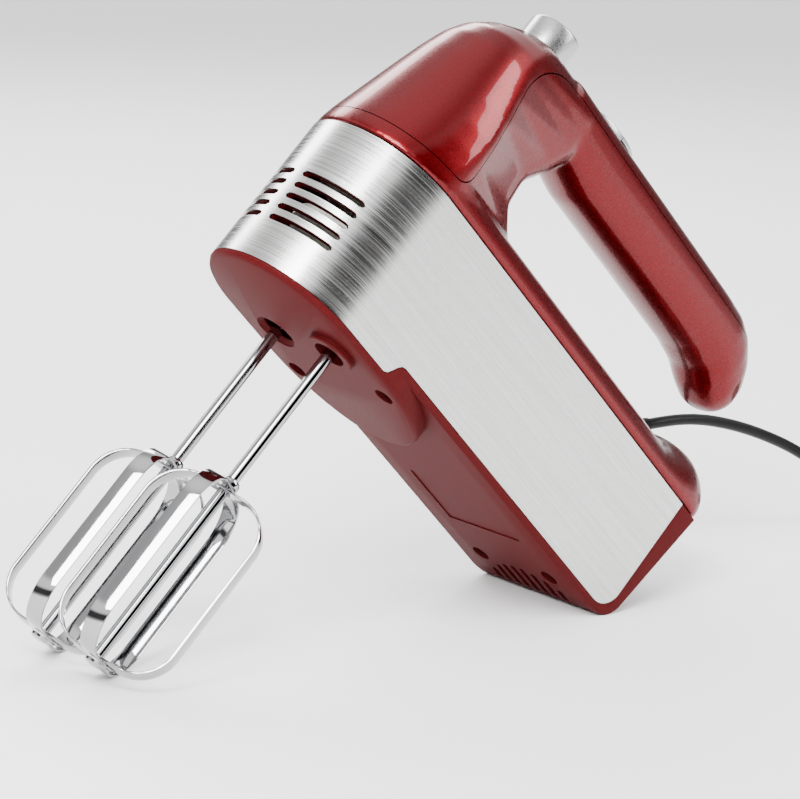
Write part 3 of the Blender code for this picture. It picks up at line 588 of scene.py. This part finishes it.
def tub(name, inset, low, high):
    """The casing's outline drawn from low to high, with levels that follow the rounded heel."""
    levels = {low, high, *[z for z in (8.2, 9.6, *HEEL_LEVELS) if low < z < high]}
    return loft(name, [plan(z, inset) for z in sorted(levels)])


def band_profile(grow=0.0):
    """The steel band seen from the side, with the step up behind the boss."""
    low, head, back = BAND_LOW - grow, BAND_LOW_HEAD - grow, BAND_REAR + grow
    radius = BAND_CORNER + grow
    notch = [(-60.0, head), (10.5 + grow, head), (12.3 + grow, head + 0.9), (13.6 + grow, 5.6 - grow)]
    notch += [(14.9 + grow, 8.0 - grow), (16.4 + grow, low - 0.6), (18.4 + grow, low)]
    corner = arc(back - radius, low + radius, radius, 270, 360, 14)
    return [*notch, *corner, (back, BAND_TOP + grow), (-60.0, BAND_TOP + grow)]


def make_bottom_housing():
    edge = [(UNDER_Z, 1.0), (8.0, 0.3)]
    heel = [(z, 0.0) for z in (9.4, *HEEL_LEVELS, BAND_TOP)]
    casing = loft("lower_casing", [plan(z, inset) for z, inset in edge + heel])
    boss = ((0, 2.0), (0.7, 0.8), (2.0, 0.0), (12.0, 0.0))
    join(casing, loft("boss", [boss_plan(z, inset) for z, inset in boss]))
    recess = prism(band_profile(CLEAR), -50, 50, "XZ")
    cut(casing, cut(recess, tub("core", BAND_THICK + CLEAR, 0.0, 80.0)))
    inner = BAND_THICK + CLEAR + WALL
    cut(casing, tub("inside", inner, 9.8, 90.0), loft("inside", [boss_plan(z, inner) for z in (2.6, 13.0)]))
    add_screw_columns(casing)
    add_sockets(casing)
    cut(casing, box((PLATE_X[0], -PLATE_HALF_Y, 0), (PLATE_X[1], PLATE_HALF_Y, UNDER_Z + PLATE_DEPTH)))
    cut(casing, *rear_vents(), *nose_vents())
    settle(casing, "pearl_red", "housing", "bottom_housing", material=satin_red())


def add_screw_columns(casing):
    """A column over each screw, with a well for the screw's head and a pilot hole through the top."""
    columns = [pin(COLUMN_R, 1.5 if x < BOSS_END else UNDER_Z + 1.5, COLUMN_TOP, (x, y)) for x, y in SCREWS]
    wells = [pin(SCREW_WELL_R, -5, COLUMN_TOP - WALL, xy) for xy in SCREWS]
    pilots = [pin(SCREW_PILOT_R, 0, 45, xy) for xy in SCREWS]
    join(casing, *columns)
    cut(casing, *wells, *pilots)


def add_sockets(casing):
    """The near beater's hole in a ribbed collar, and the far beater's hole with a bevelled rim."""
    ribs = [(9.6, -2.6), (10.0, -2.0), (9.7, -1.9), (9.7, -1.5), (10.1, -1.4), (10.1, -1.0), (9.8, -0.9)]
    join(casing, turned("collar", ribs + [(9.8, -0.5), (10.2, -0.4), (10.2, 1.5)], (0, -SOCKET_Y)))
    cut(casing, pin(NEAR_HOLE_R, -9, 9, (0, -SOCKET_Y)))
    rim = [(FAR_RIM_R, -3), (FAR_RIM_R, 0.4), (FAR_HOLE_R, 2.0), (FAR_HOLE_R, 9)]
    cut(casing, turned("hole", rim, (0, SOCKET_Y)))


def rear_vents():
    """A row of slots under the heel, whose front ends lie on a curve."""
    slots = []
    half = REAR_VENT_HALF
    for i in range(REAR_VENTS):
        y = (i - (REAR_VENTS - 1) / 2) * REAR_VENT_PITCH
        front = REAR_VENT_FRONT + REAR_VENT_CURVE * y * y
        outline = [*arc(front, y, half, 90, 270, 8), (REAR_VENT_END, y - half), (REAR_VENT_END, y + half)]
        slots.append(prism(outline, 0, 15))
    return slots


def nose_vents():
    """Five slots on each side of the nose, one above the other, that follow its curve."""
    slots = []
    near, far = VENT_REACH
    for side in (-1, 1):
        for level in range(VENTS):
            z = VENT_LOW + VENT_PITCH * level
            rings = []
            for i in range(VENT_STEPS + 1):
                share = i / VENT_STEPS
                a = math.radians(180 + side * (VENT_ARC[0] + (VENT_ARC[1] - VENT_ARC[0]) * share))
                half = VENT_HALF * math.sqrt(max(1 - abs(2 * share - 1) ** 24, 0.04))
                ring = []
                for radius, rise in ((near, -half), (far, -half), (far, half), (near, half)):
                    ring.append((NOSE_X + radius * math.cos(a), radius * math.sin(a), z + rise))
                rings.append(ring)
            slots.append(loft("vent", rings))
    return slots


def make_steel_band():
    band = tub("band", 0.0, 0.0, 80.0)
    cut(band, tub("inside", BAND_THICK, -5.0, 90.0))
    keep_inside(band, prism(band_profile(), -50, 50, "XZ"))
    cut(band, *nose_vents())
    settle(band, "brushed_steel", "housing", "steel_band")


# ---------------------------------------------------------------- upper casing
def handle_solid(inset):
    """The grip, from inside the head to its hooked end."""
    low, high, half = HANDLE_LOW, HANDLE_HIGH, HANDLE_HALF_Y
    stations = [
        # distance along, underside, top, half width
        (22.0, low + 6, high, half),
        (60.0, low, high, half),
        (105.0, low + 0.6, high, half),
        (155.0, low + 1.0, high, half),
        (168.0, low - 0.5, high - 0.7, half),
        (177.0, low - 4.5, high - 3.5, half - 0.5),
        (185.0, low - 7.0, high - 9.0, half - 2.0),
        (191.0, low - 6.0, high - 16.0, half - 4.5),
        (195.0, low - 1.0, high - 23.5, half - 8.5),
    ]
    rings = []
    for x, z0, z1, y in stations:
        ring = []
        middle, rise = (z0 + z1) / 2, (z1 - z0) / 2 - inset
        for i in range(HANDLE_STEPS):
            a = 2 * math.pi * (i + 0.5) / HANDLE_STEPS
            c, s = math.cos(a), math.sin(a)
            out = (y - inset) * math.copysign(abs(c) ** 0.8, c)
            ring.append((x - inset if x > 160 else x, out, middle + rise * math.copysign(abs(s) ** 0.8, s)))
        rings.append(ring)
    return loft("handle", rings)


def head_solid(inset):
    """The head over the nose, whose back follows the finger gap's round end."""
    rings = []
    for z, front, half in HEAD_LEVELS:
        reach = GAP_R**2 - (z - GAP_Z) ** 2
        back = GAP_X - max(math.sqrt(max(reach, 0.0)), 6.0) - inset
        tail = min(half, HANDLE_HALF_Y + 0.5 if z > GAP_Z - GAP_R else 30.0) - inset
        corner = min(12.0, tail - 0.5)
        level = min(z, HEAD_LEVELS[-1][0] - inset)
        if inset and z == COVER_LOW:
            level = z - INSIDE_DROP
        near = arc(back - corner, -tail + corner, corner, 280, 360, 8)
        far = arc(back - corner, tail - corner, corner, 0, 80, 8)
        outline = arc(front + half, 0, half - inset, 90, 270, NOSE_STEPS) + near + far
        rings.append([(x, y, level) for x, y in outline])
    return loft("head", rings)


def barrel_solid(name, inset):
    """The arched body between band and gap, with the bump at its tail."""
    low = COVER_LOW - INSIDE_DROP if inset else COVER_LOW
    half, rise = HALF_WIDTH - 0.2 - inset, BARREL_RISE - inset
    back = rear_x(80.0) - inset
    stations = [(x, half, rise) for x in (NOSE_X, 30.0, 90.0, TAIL_X)]
    for share, lift, pinch in TAIL_STATIONS:
        stations.append((TAIL_X + (back - TAIL_X) * share, half - pinch, rise + TAIL_RISE * lift))
    rings = []
    for x, wide, tall in stations:
        turns = [math.pi * i / BARREL_STEPS for i in range(BARREL_STEPS + 1)]
        crown = [(x, wide * math.cos(a), BARREL_LOW + tall * math.sin(a)) for a in turns]
        rings.append([(x, wide, low), *crown, (x, -wide, low)])
    return loft(name, rings)


def upper_solid(name, inset):
    return join(barrel_solid(name, inset), head_solid(inset), handle_solid(inset))


def parting_zone(shift):
    """Everything above the parting line, moved by shift."""
    side, top = PART_SIDE_X, PART_HANDLE_Z
    outline = [(-80, PART_NOSE_Z), (side - PART_CORNER - 1, PART_NOSE_Z)]
    outline += arc(side - PART_CORNER, PART_NOSE_Z + PART_CORNER, PART_CORNER, 270, 360, 10)
    outline += arc(side + PART_BEND + 1.5, top - PART_BEND, PART_BEND, 180, 90, 16)
    outline += [(215, top), (215, 200), (-80, 200)]
    return prism([(x + shift, z - shift) for x, z in outline], -60, 60, "XZ")


def blended(obj):
    """Runs the solids into each other with soft fillets."""
    remesh = obj.modifiers.new("even", "REMESH")
    remesh.mode = "VOXEL"
    remesh.voxel_size = VOXEL * MM
    smooth = obj.modifiers.new("soft", "SMOOTH")
    smooth.factor = 0.5
    smooth.iterations = SOFT_ROUNDS
    return apply_modifiers(obj)


def copied(obj, name):
    made = bpy.data.objects.new(name, obj.data.copy())
    pieces.objects.link(made)
    return made


def make_upper_casings():
    outside = blended(upper_solid("upper_cover", 0.0))
    inside = blended(upper_solid("inside", BLENDED_WALL))
    housing = copied(outside, "upper_casing")
    cover = cut(outside, copied(inside, "inside_cover"))
    keep_inside(cover, parting_zone(0.0))
    half_turbo = half_oval_outline(TURBO_X[1] + CLEAR, TURBO_X[0], -0.5)
    slot = (SLIDER_X[0] + 2, SLIDER_X[0] + 14 + SLIDER_TRAVEL)
    low, high = TOP_CUT
    cut(cover, pin(BUTTON_R + 0.4, low, high, (BUTTON_X, 0)), prism(half_turbo, low, high))
    cut(cover, box((slot[0], -SLIDER_SLOT_HALF, low), (slot[1], SLIDER_SLOT_HALF, high)))
    settle(cover, "pearl_red", "housing", "top_cover")
    cut(housing, inside, parting_zone(SEAM))
    settle(housing, "pearl_red", "housing", "main_housing")


# ---------------------------------------------------------------- beaters
def ribbon_loop(name, angle, top, low):
    """A closed ribbon with rounded corners, threaded on the stem."""
    lines = []
    for inset in (0.0, RIBBON_THICK):
        reach, corner = LOOP_R - inset, LOOP_CORNER - inset
        line = arc(reach - corner, top - LOOP_CORNER, corner, 0, 90, 18)
        line += arc(corner - reach, top - LOOP_CORNER, corner, 90, 180, 18)
        line += arc(corner - reach, low + LOOP_CORNER, corner, 180, 270, 18)
        line += arc(reach - corner, low + LOOP_CORNER, corner, 270, 360, 18)
        lines.append(line)
    loop = loft(name, [[(x, y, z) for x, z in lines[0]] for y in (-RIBBON_WIDTH / 2, RIBBON_WIDTH / 2)])
    cut(loop, prism(lines[1], -20, 20, "XZ"), pin(STEM_R + CLEAR, -300, 0, sides=24))
    loop.data.transform(Matrix.Rotation(angle, 4, "Z"))
    return loop


def make_beater(side, y):
    body = f"beater_{side}"
    step = RIBBON_THICK + CLEAR
    low, high = LOOP_LOW - CLEAR, LOOP_TOP + CLEAR
    across = WING_ANGLE + math.pi / 2
    stem = [(STEM_R, BEATER_LOW + 2), (STEM_R, STEM_TOP - 1), (STEM_R - 0.8, STEM_TOP)]
    ferrule = [(FERRULE_R - 0.2, high), (FERRULE_R, high + 0.3), (FERRULE_R, high + 1.8)]
    ferrule.append((FERRULE_R - 0.7, high + 3))
    rivet = [(RIVET_R - 1.1, BEATER_LOW), (RIVET_R - 0.3, BEATER_LOW + 0.4), (RIVET_R, low)]
    made = {
        "loop_outer": ribbon_loop(f"{body}_outer", WING_ANGLE, LOOP_TOP, LOOP_LOW),
        "loop_inner": ribbon_loop(f"{body}_inner", across, LOOP_TOP - step, LOOP_LOW + step),
        "stem": turned(f"{body}_shaft", stem, sides=32),
        "ferrule": turned(f"{body}_cap", ferrule, sides=40),
        "rivet": turned(f"{body}_rivet_head", rivet, sides=40),
    }
    for what, obj in made.items():
        obj.data.transform(Matrix.Translation(Vector((0, y, 0)) * MM))
        settle(obj, "polished_steel", body, f"{body}_{what}", edge=0.15 if "loop" in what else 0.0)


# ---------------------------------------------------------------- controls
def half_oval_outline(inner, outer, inset):
    """Half an oval, flat at inner and round at outer."""
    way = 1 if outer > inner else -1
    reach = outer - inner - way * inset
    turns = [math.pi * (i / 32 - 0.5) for i in range(33)]
    return [(inner + reach * math.cos(a), (SWITCH_HALF_Y - inset) * math.sin(a)) for a in turns]


def half_oval(name, low, inner, outer):
    rounding = ((1.4, 0.0), (0.7, 0.25), (0.25, 0.9), (0.0, 2.2))
    rings = []
    for z, inset in [(low, 0.0), *[(SWITCH_TOP - down, inset) for down, inset in rounding]]:
        rings.append([(x, y, z) for x, y in half_oval_outline(inner, outer, inset)])
    return loft(name, rings)


def make_controls():
    foot = [(BUTTON_R - 0.2, BUTTON_LOW), (BUTTON_R, BUTTON_LOW + 0.5)]
    rim = ((0.0, 1.5), (0.15, 0.9), (0.6, 0.35), (1.4, 0.0), (3.4, 0.0), (4.2, 0.35), (10.4, 0.6))
    profile = foot + [(BUTTON_R - inward, BUTTON_TOP - down) for inward, down in rim]
    button = turned("eject_cap", profile, (BUTTON_X, 0))
    cut(button, pin(BUTTON_R - BUTTON_WALL, 140, BUTTON_TOP - 2.4, (BUTTON_X, 0)))
    join(button, pin(BUTTON_POST_R, BUTTON_LOW, BUTTON_TOP - 1.5, (BUTTON_X, 0)))
    cut(button, pin(BUTTON_BORE_R, 140, 160, (BUTTON_X, 0)))
    settle(button, "satin_silver", "eject", "eject_button")
    under = HANDLE_HIGH + 1.0
    turbo = half_oval("turbo_cap", HANDLE_HIGH - 1.0, TURBO_X[1], TURBO_X[0])
    low, half = STEM_LOW + 0.5, TURBO_STEM_HALF
    join(turbo, box((TURBO_X[0] + 4.0, -half, low), (TURBO_X[1] - 2.5, half, under)))
    settle(turbo, "satin_silver", "turbo", "turbo_button")
    slider = half_oval("slider_cap", HANDLE_HIGH + CLEAR, SLIDER_X[0], SLIDER_X[1])
    stem, half = SLIDER_X[0] + 3.0, SLIDER_STEM_HALF
    join(slider, box((stem, -half, STEM_LOW), (stem + 9.0, half, under)))
    settle(slider, "satin_silver", "speed", "speed_slider")


# ---------------------------------------------------------------- cord
def cord_points():
    """The hanging stretch, then the coil's turns in two layers: inward on the floor, outward on top."""
    points = [Vector(p) for p in CORD_ROUTE]
    x, y = COIL_AT
    pitch = 2 * CORD_R
    for i in range(COIL_SKIP, COIL_TURNS * COIL_STEPS):
        turn = i / COIL_STEPS
        layer, column = divmod(min(int(turn), COIL_TURNS - 1), COIL_COLUMNS)
        within = turn % 1.0
        outward = 1 - column if layer == 0 else column - 1
        following = -column if layer == 0 else column
        ease = max(0.0, (within - (1 - COIL_EASE)) / COIL_EASE)
        ease = ease * ease * (3 - 2 * ease)
        last = column == COIL_COLUMNS - 1
        radius = COIL_MID_R + pitch * (outward + (0 if last else (following - outward) * ease))
        height = COIL_LOW + CORD_R + layer * pitch + (pitch * ease if last and layer == 0 else 0.0)
        angle = math.pi / 2 - 2 * math.pi * turn
        points.append(Vector((x + radius * math.cos(angle), y + radius * math.sin(angle), height)))
    return points


def make_cord():
    curve = bpy.data.curves.new("mains_cord", "CURVE")
    curve.dimensions = "3D"
    curve.bevel_depth = CORD_R
    curve.bevel_resolution = 4
    curve.use_fill_caps = True
    curve.resolution_u = 4
    points = cord_points()
    line = curve.splines.new("NURBS")
    line.points.add(len(points) - 1)
    line.order_u = 3
    line.use_endpoint_u = True
    for corner, point in zip(line.points, points):
        corner.co = (*point, 1)
    curve.materials.append(SLOTS["black_rubber"])
    cord = bpy.data.objects.new("mains_cord", curve)
    pieces.objects.link(cord)
    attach(cord, "housing")
    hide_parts("cord", "cord_coil")


make_camera()
make_cord()
make_stage()
dress_cad_nodes()
make_bottom_housing()
make_steel_band()
make_upper_casings()
make_beater("far", SOCKET_Y)
make_beater("near", -SOCKET_Y)
make_controls()
